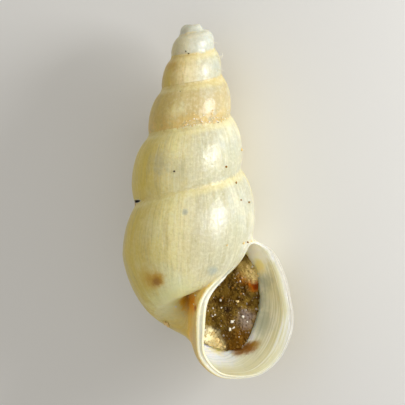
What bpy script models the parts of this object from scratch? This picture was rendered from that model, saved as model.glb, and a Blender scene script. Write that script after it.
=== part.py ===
"""Shell of a small cave snail, lying on its back with dried sediment in its mouth.

The shell is one tube that winds round an axis and widens as it grows. In its own frame the axis is +Y with the tip
up, and the mouth faces +Z. A whorl runs from the right (+X) over the front (+Z) to the left and round the back.
Sizes are in millimetres and become metres when a mesh is made.
"""

import math

import bmesh
import bpy
from mathutils import Matrix, Vector, noise

MM = 0.001

# The tube at each half turn from the tip: how far it reaches from the axis, the height of that widest point, and
# how far the tube goes on above it and below it. The last row lies past the mouth.
TUBE = (
    (0.105, 3.498, 0.050, 0.050),
    (0.152, 3.450, 0.085, 0.085),
    (0.198, 3.367, 0.135, 0.120),
    (0.235, 3.251, 0.175, 0.160),
    (0.273, 3.106, 0.220, 0.200),
    (0.322, 2.940, 0.275, 0.240),
    (0.375, 2.745, 0.330, 0.280),
    (0.445, 2.519, 0.380, 0.330),
    (0.500, 2.258, 0.430, 0.370),
    (0.600, 1.958, 0.495, 0.450),
    (0.640, 1.620, 0.560, 0.540),
    (0.675, 1.237, 0.620, 0.605),
    (0.690, 0.828, 0.680, 0.705),
    (0.700, 0.400, 0.700, 0.560),
)
AXIS_GAP = 0.012
WALL = 0.055

# The last whorl's base is squarer towards the axis and straighter on its outer side than an ellipse.
BASE_FROM_TURN = 4.9
BASE_TURNS = 0.5
BASE_INNER_POWER = 0.35
BASE_OUTER_POWER = 1.32

TIP_ROUNDING_TURNS = 0.20
HOLLOW_FROM_TURN = 3.0
LOOSE_FROM_TURN = 5.74
LOOSE_POWER = 1.7
LAST_TURN = 6.06
STEPS_PER_TURN = 22
RING_POINTS = 24
SOLID_STRETCH = 0.75
HOLLOW_STRETCH = 0.5

# Each stretch of tube starts a little inside the one before it.
SEAM_TURNS = 0.03
SEAM_INSET = 0.004

# The mouth's outer edge, from its right side over the top, the left side and the bottom.
MOUTH_EDGE = (
    (1.050, 0.630, 0.14),
    (1.020, 0.825, 0.11),
    (0.955, 1.060, 0.08),
    (0.835, 1.285, 0.06),
    (0.665, 1.385, 0.08),
    (0.580, 1.355, 0.12),
    (0.410, 1.150, 0.30),
    (0.190, 0.950, 0.42),
    (0.090, 0.770, 0.50),
    (0.075, 0.495, 0.52),
    (0.115, 0.235, 0.50),
    (0.295, 0.060, 0.46),
    (0.530, 0.035, 0.40),
    (0.755, 0.085, 0.33),
    (0.935, 0.250, 0.26),
    (1.030, 0.465, 0.20),
)
MOUTH_FACES = Vector((0.35, -0.15, 1.0)).normalized()
LIP_THIN = 0.045
LIP_THICK = 0.095
LIP_CROWN = 0.018

# The sediment fills the tube between two turns. Its lumpy front reaches further out along the mouth's right side.
PLUG_FROM_TURN = 5.55
PLUG_TO_TURN = 5.80
PLUG_STEPS = 8
PLUG_RISE_TURNS = 0.12
PLUG_RISES_AT = math.radians(-15.0)
PLUG_RISE_STEEPNESS = 1.5
PLUG_GAP = 0.006
PLUG_LUMP = 0.05
PLUG_LUMP_SIZE = 0.14

# How the shell lies: rolled about its axis, then pitched, and flattened to this depth where it rests.
ROLL = math.radians(24.0)
PITCH = math.radians(-2.9)
FLAT_DEPTH = 0.022


def between(before, start, end, after, share):
    """A smooth curve through four values, read between the middle two."""
    slope_start = (end - before) / 2
    slope_end = (after - start) / 2
    bend = 3 * (end - start) - 2 * slope_start - slope_end
    twist = 2 * (start - end) + slope_start + slope_end
    return start + share * (slope_start + share * (bend + share * twist))


def tube_sizes(turn):
    """The reach, level, upper height and lower height of the tube at a turn."""
    place = turn * 2
    whole = min(int(place), len(TUBE) - 2)
    rows = [Vector(TUBE[index]) for index in (max(whole - 1, 0), whole, whole + 1)]
    rows.append(Vector(TUBE[whole + 2]) if whole + 2 < len(TUBE) else 2 * rows[2] - rows[1])
    return between(*rows, place - whole)


def wound_point(turn, angle, inset):
    """A point of the tube's section where it winds round the axis. Angle 0 is the outermost point."""
    reach, level, up, down = tube_sizes(turn)
    middle = reach / 2
    across, along = math.cos(angle), math.sin(angle)
    half_width = middle - inset if across > 0 else middle - AXIS_GAP - inset
    half_height = (up if along > 0 else down) - inset
    if along < 0:
        base_share = min(1.0, max(0.0, (turn - BASE_FROM_TURN) / BASE_TURNS))
        full_power = BASE_INNER_POWER if across < 0 else BASE_OUTER_POWER
        power = 1 + base_share * (full_power - 1)
        across, along = math.copysign(abs(across) ** power, across), -(abs(along) ** power)
    rounding = 1.0
    if turn < TIP_ROUNDING_TURNS:
        rounding = math.sqrt(1 - (1 - turn / TIP_ROUNDING_TURNS) ** 2)
    radius = middle + across * half_width * rounding
    height = level + along * half_height * rounding
    swing = 2 * math.pi * turn
    return Vector((radius * math.cos(swing), height, radius * math.sin(swing)))


def mouth_point(angle, inset):
    """A point of the mouth's edge, drawn in towards the middle of the mouth."""
    count = len(MOUTH_EDGE)
    place = (angle / (2 * math.pi) * count) % count
    whole = int(place)
    corners = [Vector(MOUTH_EDGE[(whole + step) % count]) for step in (-1, 0, 1, 2)]
    edge = between(*corners, place - whole)
    middle = sum((Vector(corner) for corner in MOUTH_EDGE), Vector()) / count
    return edge + (middle - edge).normalized() * inset


def tube_point(turn, angle, inset, lip_share):
    """A point of the tube, which leaves its winding for the mouth's edge over the last part of a turn."""
    point = wound_point(turn, angle, inset)
    loose = max(0.0, (turn - LOOSE_FROM_TURN) / (LAST_TURN - LOOSE_FROM_TURN)) ** LOOSE_POWER
    thick = max(0.0, -math.cos(angle))
    lip = (LIP_THIN + (LIP_THICK - LIP_THIN) * thick) * lip_share
    return point.lerp(mouth_point(angle, lip), loose)


def ring(turn, inset=0.0, lip_share=0.0, rise=0.0):
    """The tube's section at a turn. lip_share goes from the lip's outer edge, 0, to its inner edge, 1."""
    points = []
    for index in range(RING_POINTS):
        angle = 2 * math.pi * index / RING_POINTS
        risen = PLUG_RISE_STEEPNESS * max(0.0, math.cos(angle - PLUG_RISES_AT))
        points.append(tube_point(turn + rise * min(1.0, risen), angle, inset, lip_share))
    return points


def rings(start, end, inset=0.0, lip_share=0.0):
    """Evenly spaced sections from one turn to another."""
    steps = max(1, round((end - start) * STEPS_PER_TURN))
    return [ring(start + (end - start) * step / steps, inset, lip_share) for step in range(steps + 1)]


def skin(name, sections, joined_ends=False):
    """A closed mesh through sections. Its two ends meet each other, or each closes on its own middle."""
    mesh = bmesh.new()
    loops = [[mesh.verts.new(point * MM) for point in points] for points in sections]
    pairs = list(zip(loops, loops[1:]))
    if joined_ends:
        pairs.append((loops[-1], loops[0]))
    for first, second in pairs:
        for index in range(len(first)):
            after = (index + 1) % len(first)
            mesh.faces.new((first[index], first[after], second[after], second[index]))
    if not joined_ends:
        for loop in (loops[0], loops[-1]):
            middle = mesh.verts.new(sum((vert.co for vert in loop), Vector()) / len(loop))
            for index in range(len(loop)):
                mesh.faces.new((loop[index], loop[(index + 1) % len(loop)], middle))
    bmesh.ops.recalc_face_normals(mesh, faces=mesh.faces)
    bmesh.ops.triangulate(mesh, faces=mesh.faces)
    data = bpy.data.meshes.new(name)
    mesh.to_mesh(data)
    mesh.free()
    made = bpy.data.objects.new(name, data)
    bpy.context.scene.collection.objects.link(made)
    return made


def combine(target, other, operation):
    """Joins the other mesh to the target or cuts it away, and removes the other."""
    modifier = target.modifiers.new(operation.title(), "BOOLEAN")
    modifier.operation = operation
    # The exact solver leaves these nearly touching whorls open.
    modifier.solver = "MANIFOLD"
    modifier.object = other
    bpy.context.view_layer.update()
    graph = bpy.context.evaluated_depsgraph_get()
    result = bpy.data.meshes.new_from_object(target.evaluated_get(graph))
    target.modifiers.clear()
    target.data = result
    bpy.data.objects.remove(other)


def cut_earlier_whorl(piece, start, end, inset):
    """Removes from a piece what would lie inside the whorl before it."""
    combine(piece, skin("earlier whorl", rings(start - 1.25, end - 0.75, inset)), "DIFFERENCE")


def solid_stretch(start, end):
    """A stretch of the tip's small whorls."""
    first = [ring(start - SEAM_TURNS, SEAM_INSET)] if start else []
    return skin("solid stretch", first + rings(max(start, SEAM_TURNS / 10), end))


def hollow_stretch(start, end):
    """A stretch of the hollow tube, which stops half way into the wall of the whorl before it."""
    outer = [ring(start - SEAM_TURNS, SEAM_INSET)] + rings(start, end)
    inner = [ring(start - SEAM_TURNS, WALL - SEAM_INSET, 1.0)] + rings(start, end, WALL, 1.0)
    if end == LAST_TURN:
        crown = [(outside + inside) / 2 + MOUTH_FACES * LIP_CROWN for outside, inside in zip(outer[-1], inner[-1])]
        outer.append(crown)
    made = skin("hollow stretch", outer + inner[::-1], True)
    cut_earlier_whorl(made, start, end, WALL / 2)
    return made


def grow_shell():
    """The whole shell in its own frame."""
    shell = solid_stretch(0.0, SOLID_STRETCH)
    shell.name = "shell"
    start = SOLID_STRETCH
    while start < HOLLOW_FROM_TURN:
        combine(shell, solid_stretch(start, start + SOLID_STRETCH), "UNION")
        start += SOLID_STRETCH
    while start < LAST_TURN - HOLLOW_STRETCH:
        end = start + HOLLOW_STRETCH
        combine(shell, hollow_stretch(start, end if end + HOLLOW_STRETCH < LAST_TURN else LAST_TURN), "UNION")
        start = end
    return shell


def fill_mouth():
    """The sediment in the mouth, in the shell's frame."""
    lip_share = 1 + PLUG_GAP / LIP_THIN
    sections = []
    for step in range(PLUG_STEPS + 1):
        share = step / PLUG_STEPS
        turn = PLUG_FROM_TURN + (PLUG_TO_TURN - PLUG_FROM_TURN) * share
        sections.append(ring(turn, WALL + PLUG_GAP, lip_share, PLUG_RISE_TURNS * share))
    edge = sections[-1]
    middle = sum(edge, Vector()) / len(edge)
    for share in (0.25, 0.5, 0.75):
        face = [point.lerp(middle, share) for point in edge]
        lumps = [noise.noise(point / PLUG_LUMP_SIZE) * PLUG_LUMP for point in face]
        sections.append([point + MOUTH_FACES * lump for point, lump in zip(face, lumps)])
    plug = skin("sediment_plug", sections)
    cut_earlier_whorl(plug, PLUG_FROM_TURN, PLUG_TO_TURN + PLUG_RISE_TURNS, -PLUG_GAP)
    return plug


def lay_down(pieces, shell):
    """Turns the pieces as the shell lies, over the origin, and sinks the shell by the depth of its flat spots."""
    turned = Matrix.Rotation(PITCH, 4, "X") @ Matrix.Rotation(ROLL, 4, "Y")
    corners = [turned @ vert.co for vert in shell.data.vertices]
    low = Vector([min(corner[axis] for corner in corners) for axis in range(3)])
    high = Vector([max(corner[axis] for corner in corners) for axis in range(3)])
    place = Vector((-(low.x + high.x) / 2, -(low.y + high.y) / 2, -low.z - FLAT_DEPTH * MM))
    for piece in pieces:
        piece.matrix_world = Matrix.Translation(place) @ turned


def surface(name, color, roughness):
    """A plain opaque material."""
    made = bpy.data.materials.new(name)
    made.use_nodes = True
    shader = made.node_tree.nodes["Principled BSDF"]
    shader.inputs["Base Color"].default_value = (*color, 1.0)
    shader.inputs["Roughness"].default_value = roughness
    return made


def ground_cutter(collection):
    """A block whose top is the surface that the shell rests on."""
    bpy.ops.mesh.primitive_cube_add(size=1.0)
    block = bpy.context.object
    block.name = "ground_cutter"
    block.scale = (10 * MM, 10 * MM, 2 * MM)
    block.location.z = -MM
    for owner in list(block.users_collection):
        owner.objects.unlink(block)
    collection.objects.link(block)
    block.hide_render = True
    block.display_type = "WIRE"
    return block


def main():
    for existing in list(bpy.data.objects):
        bpy.data.objects.remove(existing)
    parts = bpy.data.collections.new("snail_shell")
    cutters = bpy.data.collections.new("cutters")
    for collection in (parts, cutters):
        bpy.context.scene.collection.children.link(collection)

    shell = grow_shell()
    plug = fill_mouth()
    lay_down((shell, plug), shell)
    shell.data.materials.append(surface("shell_cream", (0.78, 0.70, 0.46), 0.35))
    plug.data.materials.append(surface("dried_sediment", (0.20, 0.13, 0.06), 0.9))
    flat = shell.modifiers.new("Flat spots", "BOOLEAN")
    flat.operation = "DIFFERENCE"
    flat.solver = "MANIFOLD"
    flat.object = ground_cutter(cutters)
    for piece in (shell, plug):
        bpy.context.scene.collection.objects.unlink(piece)
        parts.objects.link(piece)
        piece.data.shade_smooth()


main()
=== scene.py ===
import math
import random

import bmesh
import bpy
from mathutils import Matrix, Vector, noise
from mathutils.bvhtree import BVHTree
from mathutils.kdtree import KDTree


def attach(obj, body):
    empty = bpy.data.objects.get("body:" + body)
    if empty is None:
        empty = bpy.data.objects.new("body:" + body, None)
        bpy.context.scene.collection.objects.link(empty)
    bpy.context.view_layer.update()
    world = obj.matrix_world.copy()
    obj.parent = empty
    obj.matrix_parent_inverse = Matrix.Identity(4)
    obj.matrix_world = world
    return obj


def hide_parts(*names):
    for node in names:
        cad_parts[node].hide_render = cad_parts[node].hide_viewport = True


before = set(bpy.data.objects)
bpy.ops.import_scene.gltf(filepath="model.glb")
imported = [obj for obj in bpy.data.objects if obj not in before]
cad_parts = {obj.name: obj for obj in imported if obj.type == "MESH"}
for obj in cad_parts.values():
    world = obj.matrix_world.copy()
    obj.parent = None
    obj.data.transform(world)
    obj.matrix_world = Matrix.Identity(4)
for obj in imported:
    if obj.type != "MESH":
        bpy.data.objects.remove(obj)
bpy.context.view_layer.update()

# The shell is one tube of calcium carbonate that winds round an axis and widens as it grows. It is hard, thin
# and a little see-through, its whorls are fused, and its mouth ends in a free, flared lip. It is swept along
# its growth path in stretches, which are joined, and the growth lines are raised on the result.
MM = 0.001

# At each half turn from the tip: how far the tube reaches from the axis, the height of that widest point, and
# how far it goes on above it and below it. The last row lies past the mouth.
TUBE = (
    (0.098, 3.490, 0.076, 0.050),
    (0.154, 3.450, 0.094, 0.085),
    (0.198, 3.367, 0.135, 0.120),
    (0.235, 3.251, 0.175, 0.160),
    (0.273, 3.106, 0.220, 0.200),
    (0.322, 2.940, 0.275, 0.240),
    (0.375, 2.745, 0.330, 0.280),
    (0.445, 2.519, 0.380, 0.330),
    (0.500, 2.258, 0.430, 0.370),
    (0.600, 1.958, 0.495, 0.450),
    (0.640, 1.620, 0.560, 0.540),
    (0.675, 1.237, 0.620, 0.605),
    (0.690, 0.828, 0.680, 0.705),
    (0.700, 0.400, 0.700, 0.560),
)
AXIS_GAP = 0.012
WALL = 0.055
FIRST_TURN = 0.003
TIP_ROUNDING_TURNS = 0.20
HOLLOW_FROM_TURN = 3.0
LAST_TURN = 6.06
STRETCH_TURNS = 0.5

# Each stretch starts a little before the end of the last one, and a little inside it.
SEAM_TURNS = 0.03
SEAM_INSET = 0.004

# Up to the first of these turns the sections reach past the axis, by so many times the gap, which closes the
# tip. From the second turn on they keep the gap.
TIP_CLOSED = (0.5, 1.3)
TIP_OVERLAP = 4

# The last whorl's base is squarer towards the axis and straighter on its outer side than an ellipse.
BASE_FROM_TURN = 4.9
BASE_TURNS = 0.5
BASE_INNER_POWER = 0.35
BASE_OUTER_POWER = 1.32

# The mouth's outer edge, from its right side over the top, the left side and the bottom, seen with the mouth in
# front.
MOUTH_EDGE = (
    (1.050, 0.630, 0.14),
    (1.020, 0.825, 0.11),
    (0.955, 1.060, 0.08),
    (0.835, 1.285, 0.06),
    (0.665, 1.385, 0.08),
    (0.580, 1.355, 0.12),
    (0.410, 1.150, 0.30),
    (0.190, 0.950, 0.42),
    (0.090, 0.770, 0.50),
    (0.075, 0.495, 0.52),
    (0.115, 0.235, 0.50),
    (0.295, 0.060, 0.46),
    (0.530, 0.035, 0.40),
    (0.755, 0.085, 0.33),
    (0.935, 0.250, 0.26),
    (1.030, 0.465, 0.20),
)
MOUTH_FACES = Vector((0.35, -0.15, 1.0)).normalized()
LOOSE_FROM_TURN = 5.74
LOOSE_POWER = 1.7

# The lip's width at its narrowest and broadest, where it is broadest, and how quickly it narrows from there.
LIP_THIN = 0.024
LIP_THICK = 0.105
LIP_BROADEST = math.radians(16)
LIP_NARROWING = 2.0

# The lip in section, two rims with a groove between: how far across it each line lies, and how far it stands
# out.
LIP_PROFILE = (
    (0.06, 0.006),
    (0.18, 0.013),
    (0.32, 0.015),
    (0.46, 0.009),
    (0.58, 0.004),
    (0.70, 0.008),
    (0.84, 0.010),
    (0.95, 0.004),
)

# Spacing of the mesh along the winding and round the tube. What stays hidden inside is coarser.
STEP_LENGTH = 0.0150
RING_LENGTH = 0.026
HIDDEN_STEP_LENGTH = 0.06
COARSER = 2
FEWEST_STEPS = 3
FEWEST_POINTS_A_QUARTER = 6
WELD_DISTANCE = 2e-9

# The whorl before a stretch, which is cut out of it, reaches from so many turns before the stretch's start to
# so many before its end.
CORE_FROM = 1.25
CORE_TO = 0.75


class Wire:
    """A socket of a node tree. Sums, products and powers of wires add Math nodes to the tree."""

    def __init__(self, tree, socket):
        self.tree = tree
        self.socket = socket

    @staticmethod
    def feed(node, inputs):
        """Links wires to a node's sockets, by name or number, or sets values on them. A list joins several."""
        for name, value in inputs.items():
            for item in value if isinstance(value, list) else [value]:
                if isinstance(item, Wire):
                    item.tree.links.new(item.socket, node.inputs[name])
                else:
                    node.inputs[name].default_value = item

    @staticmethod
    def node(tree, kind, settings=None, inputs=None, output=0):
        """Adds a node, sets its settings, then its sockets, and returns one of its outputs, if it has any."""
        made = tree.nodes.new(kind)
        for name, value in (settings or {}).items():
            if name == "stops":
                ramp = made.color_ramp.elements
                while len(ramp) < len(value):
                    ramp.new(1.0)
                for stop, (place, color) in zip(ramp, value):
                    stop.position = place
                    stop.color = color
            else:
                setattr(made, name, value)
        Wire.feed(made, inputs or {})
        return Wire(tree, made.outputs[output]) if made.outputs else None

    def other(self, output):
        """Another output of the node that this wire comes from."""
        return Wire(self.tree, self.socket.node.outputs[output])

    def math(self, operation, *values):
        """A Math node that starts from this wire."""
        inputs = dict(enumerate((self, *values)))
        return Wire.node(self.tree, "ShaderNodeMath", {"operation": operation}, inputs)

    def __add__(self, value):
        return self.math("ADD", value)

    def __mul__(self, value):
        return self.math("MULTIPLY", value)

    __radd__ = __add__
    __rmul__ = __mul__

    def __sub__(self, value):
        return self.math("SUBTRACT", value)

    def __rsub__(self, value):
        return (self * -1).math("ADD", value)

    def __truediv__(self, value):
        return self.math("DIVIDE", value)

    def __rtruediv__(self, value):
        return (self ** -1) * value

    def __pow__(self, value):
        return self.math("POWER", value)

    def above(self, level):
        """1 where the number is above this level, and 0 elsewhere."""
        return self.math("GREATER_THAN", level)

    def soft_step(self, low, high):
        """0 below the first level and 1 above the second, with a soft step between. Levels may be wires."""
        inputs = {"Value": self, "From Min": low, "From Max": high}
        return Wire.node(self.tree, "ShaderNodeMapRange", {"interpolation_type": "SMOOTHSTEP"}, inputs)

    def rise(self, low, high):
        """The same between two numbers. It falls where the first is the higher one."""
        return 1 - self.soft_step(high, low) if low > high else self.soft_step(low, high)


def vector(tree, operation, *values):
    """A Vector Math node. A dot product or a distance comes out of its second socket."""
    output = 1 if operation in ("DOT_PRODUCT", "DISTANCE") else 0
    return Wire.node(tree, "ShaderNodeVectorMath", {"operation": operation}, dict(enumerate(values)), output)


def scaled(tree, value, size):
    """A vector times a number."""
    return Wire.node(tree, "ShaderNodeVectorMath", {"operation": "SCALE"}, {0: value, "Scale": size})


def point_of(tree, x, y, z):
    """A vector put together from three numbers."""
    return Wire.node(tree, "ShaderNodeCombineXYZ", None, {"X": x, "Y": y, "Z": z})


def between(before, start, end, after, share):
    """A smooth curve through four values, read between the middle two."""
    slope_start = (end - before) / 2
    slope_end = (after - start) / 2
    bend = 3 * (end - start) - 2 * slope_start - slope_end
    twist = 2 * (start - end) + slope_start + slope_end
    return start + share * (slope_start + share * (bend + share * twist))


def tube_sizes(turn):
    """The reach, level, upper height and lower height of the tube at a turn."""
    place = turn * 2
    whole = min(int(place), len(TUBE) - 2)
    rows = [Vector(TUBE[index]) for index in (max(whole - 1, 0), whole, whole + 1)]
    rows.append(Vector(TUBE[whole + 2]) if whole + 2 < len(TUBE) else 2 * rows[2] - rows[1])
    return between(*rows, place - whole)


def section(turn, inset=0.0, lip_share=0.0, crown=0.0, drawn_in=0.0):
    """What the sweep needs to know of one section. lip_share is 0 on the outer skin and 1 on the inner one."""
    reach, level, up, down = tube_sizes(turn)
    base_share = min(1.0, max(0.0, (turn - BASE_FROM_TURN) / BASE_TURNS))
    loose = max(0.0, (turn - LOOSE_FROM_TURN) / (LAST_TURN - LOOSE_FROM_TURN))
    early = max(0.0, 1 - turn / TIP_ROUNDING_TURNS)
    return {
        "turn": turn,
        "reach": reach,
        "level": level,
        "up": up,
        "down": down,
        "inset": inset,
        "inner_power": 1 + base_share * (BASE_INNER_POWER - 1),
        "outer_power": 1 + base_share * (BASE_OUTER_POWER - 1),
        "rounding": math.sqrt(1 - early ** 2),
        "loose": loose ** LOOSE_POWER,
        "lip_share": lip_share,
        "crown": crown,
        "drawn_in": drawn_in,
        "grown": 2 * math.pi * reach * turn,
    }


def geometry_tree(name, inputs):
    """A geometry tree with these inputs, given by name and by number or kind, and a wire from each of them."""
    tree = bpy.data.node_groups.new(name, "GeometryNodeTree")
    for label, value in (("Geometry", "NodeSocketGeometry"), *inputs):
        kind = {int: "NodeSocketInt", float: "NodeSocketFloat"}.get(type(value), value)
        socket = tree.interface.new_socket(name=label, in_out="INPUT", socket_type=kind)
        if kind != value:
            socket.default_value = value
    tree.interface.new_socket(name="Geometry", in_out="OUTPUT", socket_type="NodeSocketGeometry")
    start = Wire.node(tree, "NodeGroupInput").socket.node
    return tree, {socket.name: Wire(tree, socket) for socket in start.outputs if socket.name}


def finish_tree(tree, geometry, material):
    """Ends a tree with realized instances that carry the material."""
    real = Wire.node(tree, "GeometryNodeRealizeInstances", None, {"Geometry": geometry})
    dressed = Wire.node(tree, "GeometryNodeSetMaterial", None, {"Geometry": real, "Material": material})
    Wire.node(tree, "NodeGroupOutput", None, {"Geometry": dressed})


def run_tree(piece, tree, values=()):
    """Runs a geometry tree on a piece with these named inputs and keeps the result as a plain mesh."""
    modifier = piece.modifiers.new(tree.name, "NODES")
    modifier.node_group = tree
    for socket in tree.interface.items_tree:
        if socket.in_out == "INPUT" and socket.name in values:
            modifier[socket.identifier] = values[socket.name]
    settle(piece)


def settle(piece):
    """Turns a piece and its modifiers into a plain mesh."""
    bpy.context.view_layer.update()
    graph = bpy.context.evaluated_depsgraph_get()
    mesh = bpy.data.meshes.new_from_object(piece.evaluated_get(graph))
    piece.modifiers.clear()
    piece.data = mesh


def read(tree, name):
    """A number stored on the mesh."""
    return Wire.node(tree, "GeometryNodeInputNamedAttribute", {"data_type": "FLOAT"}, {"Name": name})


def store(tree, geometry, name, value):
    """Stores a number on each point of the mesh."""
    settings = {"data_type": "FLOAT", "domain": "POINT"}
    inputs = {"Geometry": geometry, "Name": name, "Value": value}
    return Wire.node(tree, "GeometryNodeStoreNamedAttribute", settings, inputs)


def sample(tree, kind, geometry, value, index):
    """A number or a vector read from another mesh at this point number."""
    inputs = {"Geometry": geometry, "Value": value, "Index": index}
    return Wire.node(tree, "GeometryNodeSampleIndex", {"data_type": kind, "domain": "POINT"}, inputs)


shell_material = bpy.data.materials.new("shell_cream")

tube_tree, wires = geometry_tree("Growing tube", (
    ("Ring Points", 24),
    ("Axis Gap", AXIS_GAP),
    ("Thin Lip", LIP_THIN),
    ("Thick Lip", LIP_THICK),
    ("Mouth Edge", "NodeSocketObject"),
    ("Mouth Middle", "NodeSocketVector"),
    ("Mouth Faces", "NodeSocketVector"),
))
tree = tube_tree
path = wires["Geometry"]
row_count = Wire.node(tree, "GeometryNodeAttributeDomainSize", {"component": "MESH"}, {"Geometry": path})
grid_inputs = {"Size X": 1.0, "Size Y": 1.0, "Vertices X": row_count, "Vertices Y": wires["Ring Points"] + 1}
sheet = Wire.node(tree, "GeometryNodeMeshGrid", None, grid_inputs)
spot = Wire.node(tree, "ShaderNodeSeparateXYZ", None, {0: Wire.node(tree, "GeometryNodeInputPosition")})
row_number = ((spot + 0.5) * (row_count - 1)).math("ROUND")
ring_number = ((spot.other(1) + 0.5) * wires["Ring Points"]).math("ROUND")


def at_row(name):
    """A number of the growth path at this point's row."""
    return sample(tree, "FLOAT", path, read(tree, name), row_number)


# Each point's place on the wound tube.
angle = ring_number / wires["Ring Points"] * (2 * math.pi)
cosine, sine = angle.math("COSINE"), angle.math("SINE")
outside, above = cosine.above(0.0), sine.above(0.0)
middle = at_row("reach") / 2
inset, rounding = at_row("inset"), at_row("rounding")
gap = wires["Axis Gap"] * (at_row("turn").rise(*TIP_CLOSED) * (TIP_OVERLAP + 1) - TIP_OVERLAP)
half_width = middle - inset - (1 - outside) * gap
half_height = at_row("down") + above * (at_row("up") - at_row("down")) - inset
base_power = at_row("inner_power") + outside * (at_row("outer_power") - at_row("inner_power"))
power = base_power + above * (1 - base_power)
across = cosine.math("ABSOLUTE") ** power * cosine.math("SIGN")
along = sine.math("ABSOLUTE") ** power * sine.math("SIGN")
open_share = (1 - at_row("drawn_in")) * rounding
radius = middle + across * half_width * open_share
height = at_row("level") + along * half_height * open_share
swing = at_row("turn") * (2 * math.pi)
wound = point_of(tree, radius * swing.math("COSINE"), height, radius * swing.math("SINE"))

# Its place on the lip, and a smooth change from the one to the other.
edge_shape = Wire.node(tree, "GeometryNodeObjectInfo", None, {"Object": wires["Mouth Edge"]}, "Geometry")
edge = sample(tree, "FLOAT_VECTOR", edge_shape, Wire.node(tree, "GeometryNodeInputPosition"), ring_number)
inward = vector(tree, "NORMALIZE", vector(tree, "SUBTRACT", wires["Mouth Middle"], edge))
towards_broad = (cosine * -math.cos(LIP_BROADEST) - sine * math.sin(LIP_BROADEST)).math("MAXIMUM", 0.0)
lip_width = wires["Thin Lip"] + (wires["Thick Lip"] - wires["Thin Lip"]) * towards_broad ** LIP_NARROWING
lip_step = scaled(tree, inward, lip_width * at_row("lip_share"))
crown_step = scaled(tree, wires["Mouth Faces"], at_row("crown") * lip_width / LIP_THICK)
lip_point = vector(tree, "ADD", vector(tree, "ADD", edge, lip_step), crown_step)
mix_inputs = {"Factor": at_row("loose") * (1 - at_row("drawn_in")), 4: wound, 5: lip_point}
grown_point = Wire.node(tree, "ShaderNodeMix", {"data_type": "VECTOR"}, mix_inputs, 1)

# The numbers that stay on the mesh: turns from the tip, millimetres grown, how high in the section a point
# lies, and how far it is from the outer skin to the inner one.
for label, value in (
    ("turn", at_row("turn")),
    ("grown", at_row("grown")),
    ("around", sine * 0.5 + 0.5),
    ("inside", at_row("lip_share")),
):
    sheet = store(tree, sheet, label, value)
swept_inputs = {"Geometry": sheet, "Position": scaled(tree, grown_point, MM)}
swept = Wire.node(tree, "GeometryNodeSetPosition", None, swept_inputs)
welded = Wire.node(tree, "GeometryNodeMergeByDistance", None, {"Geometry": swept, "Distance": WELD_DISTANCE})
finish_tree(tree, welded, shell_material)


def mouth_guide(count):
    """A guide whose points lie round the mouth's outer edge."""
    corners = [Vector(corner) for corner in MOUTH_EDGE]
    points = []
    for index in range(count):
        place = index * len(corners) / count
        whole = int(place)
        near = [corners[(whole + step) % len(corners)] for step in (-1, 0, 1, 2)]
        points.append(between(*near, place - whole))
    points.append(points[0])
    mesh = bpy.data.meshes.new("mouth edge")
    mesh.from_pydata(points, [], [])
    guide = bpy.data.objects.new("mouth edge", mesh)
    bpy.context.scene.collection.objects.link(guide)
    return guide


def sweep(name, rows, ring_points):
    """One closed stretch of tube through these sections."""
    mesh = bpy.data.meshes.new(name)
    mesh.vertices.add(len(rows))
    for label in rows[0]:
        column = mesh.attributes.new(label, "FLOAT", "POINT")
        column.data.foreach_set("value", [row[label] for row in rows])
    piece = bpy.data.objects.new(name, mesh)
    bpy.context.scene.collection.objects.link(piece)
    guide = mouth_guide(ring_points)
    run_tree(piece, tube_tree, {
        "Ring Points": ring_points,
        "Mouth Edge": guide,
        "Mouth Middle": sum((Vector(corner) for corner in MOUTH_EDGE), Vector()) / len(MOUTH_EDGE),
        "Mouth Faces": MOUTH_FACES,
    })
    bpy.data.objects.remove(guide)
    shape = bmesh.new()
    shape.from_mesh(piece.data)
    bmesh.ops.recalc_face_normals(shape, faces=shape.faces)
    bmesh.ops.triangulate(shape, faces=shape.faces)
    shape.to_mesh(piece.data)
    shape.free()
    return piece


def combine(target, other, operation):
    """Joins another closed mesh to the target or cuts it away, and removes it."""
    modifier = target.modifiers.new(operation.title(), "BOOLEAN")
    modifier.operation = operation
    modifier.solver = "MANIFOLD"
    modifier.object = other
    settle(target)
    bpy.data.objects.remove(other)


def turns_between(start, end, step_length):
    """Evenly spaced turns, about one step length apart on the tube's outside."""
    reach = tube_sizes((start + end) / 2)[0]
    steps = max(FEWEST_STEPS, round(2 * math.pi * reach * (end - start) / step_length))
    return [start + (end - start) * step / steps for step in range(steps + 1)]


def ring_points_at(turn, ring_length):
    """How many points a section needs there, the same number in each quarter."""
    reach, level, up, down = tube_sizes(turn)
    needed = round(math.pi * (reach / 2 + (up + down) / 2) / ring_length / 4)
    return 4 * max(FEWEST_POINTS_A_QUARTER, needed)


def closed_ends(rows):
    """The same sections with each end drawn in to a point."""
    return [dict(rows[0], drawn_in=1.0), *rows, dict(rows[-1], drawn_in=1.0)]


def core(start, end, inset):
    """The whorl before this stretch, as a solid."""
    turns = turns_between(start - CORE_FROM, end - CORE_TO, COARSER * STEP_LENGTH)
    rows = [section(turn, inset) for turn in turns]
    return sweep("earlier whorl", closed_ends(rows), ring_points_at(end, COARSER * RING_LENGTH))


def solid_stretch(start, end):
    """A stretch of the tip's small whorls."""
    rows = [section(turn) for turn in turns_between(max(start, FIRST_TURN), end, STEP_LENGTH)]
    if start:
        rows.insert(0, section(start - SEAM_TURNS, SEAM_INSET))
    return sweep("solid stretch", closed_ends(rows), ring_points_at(end, RING_LENGTH))


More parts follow.
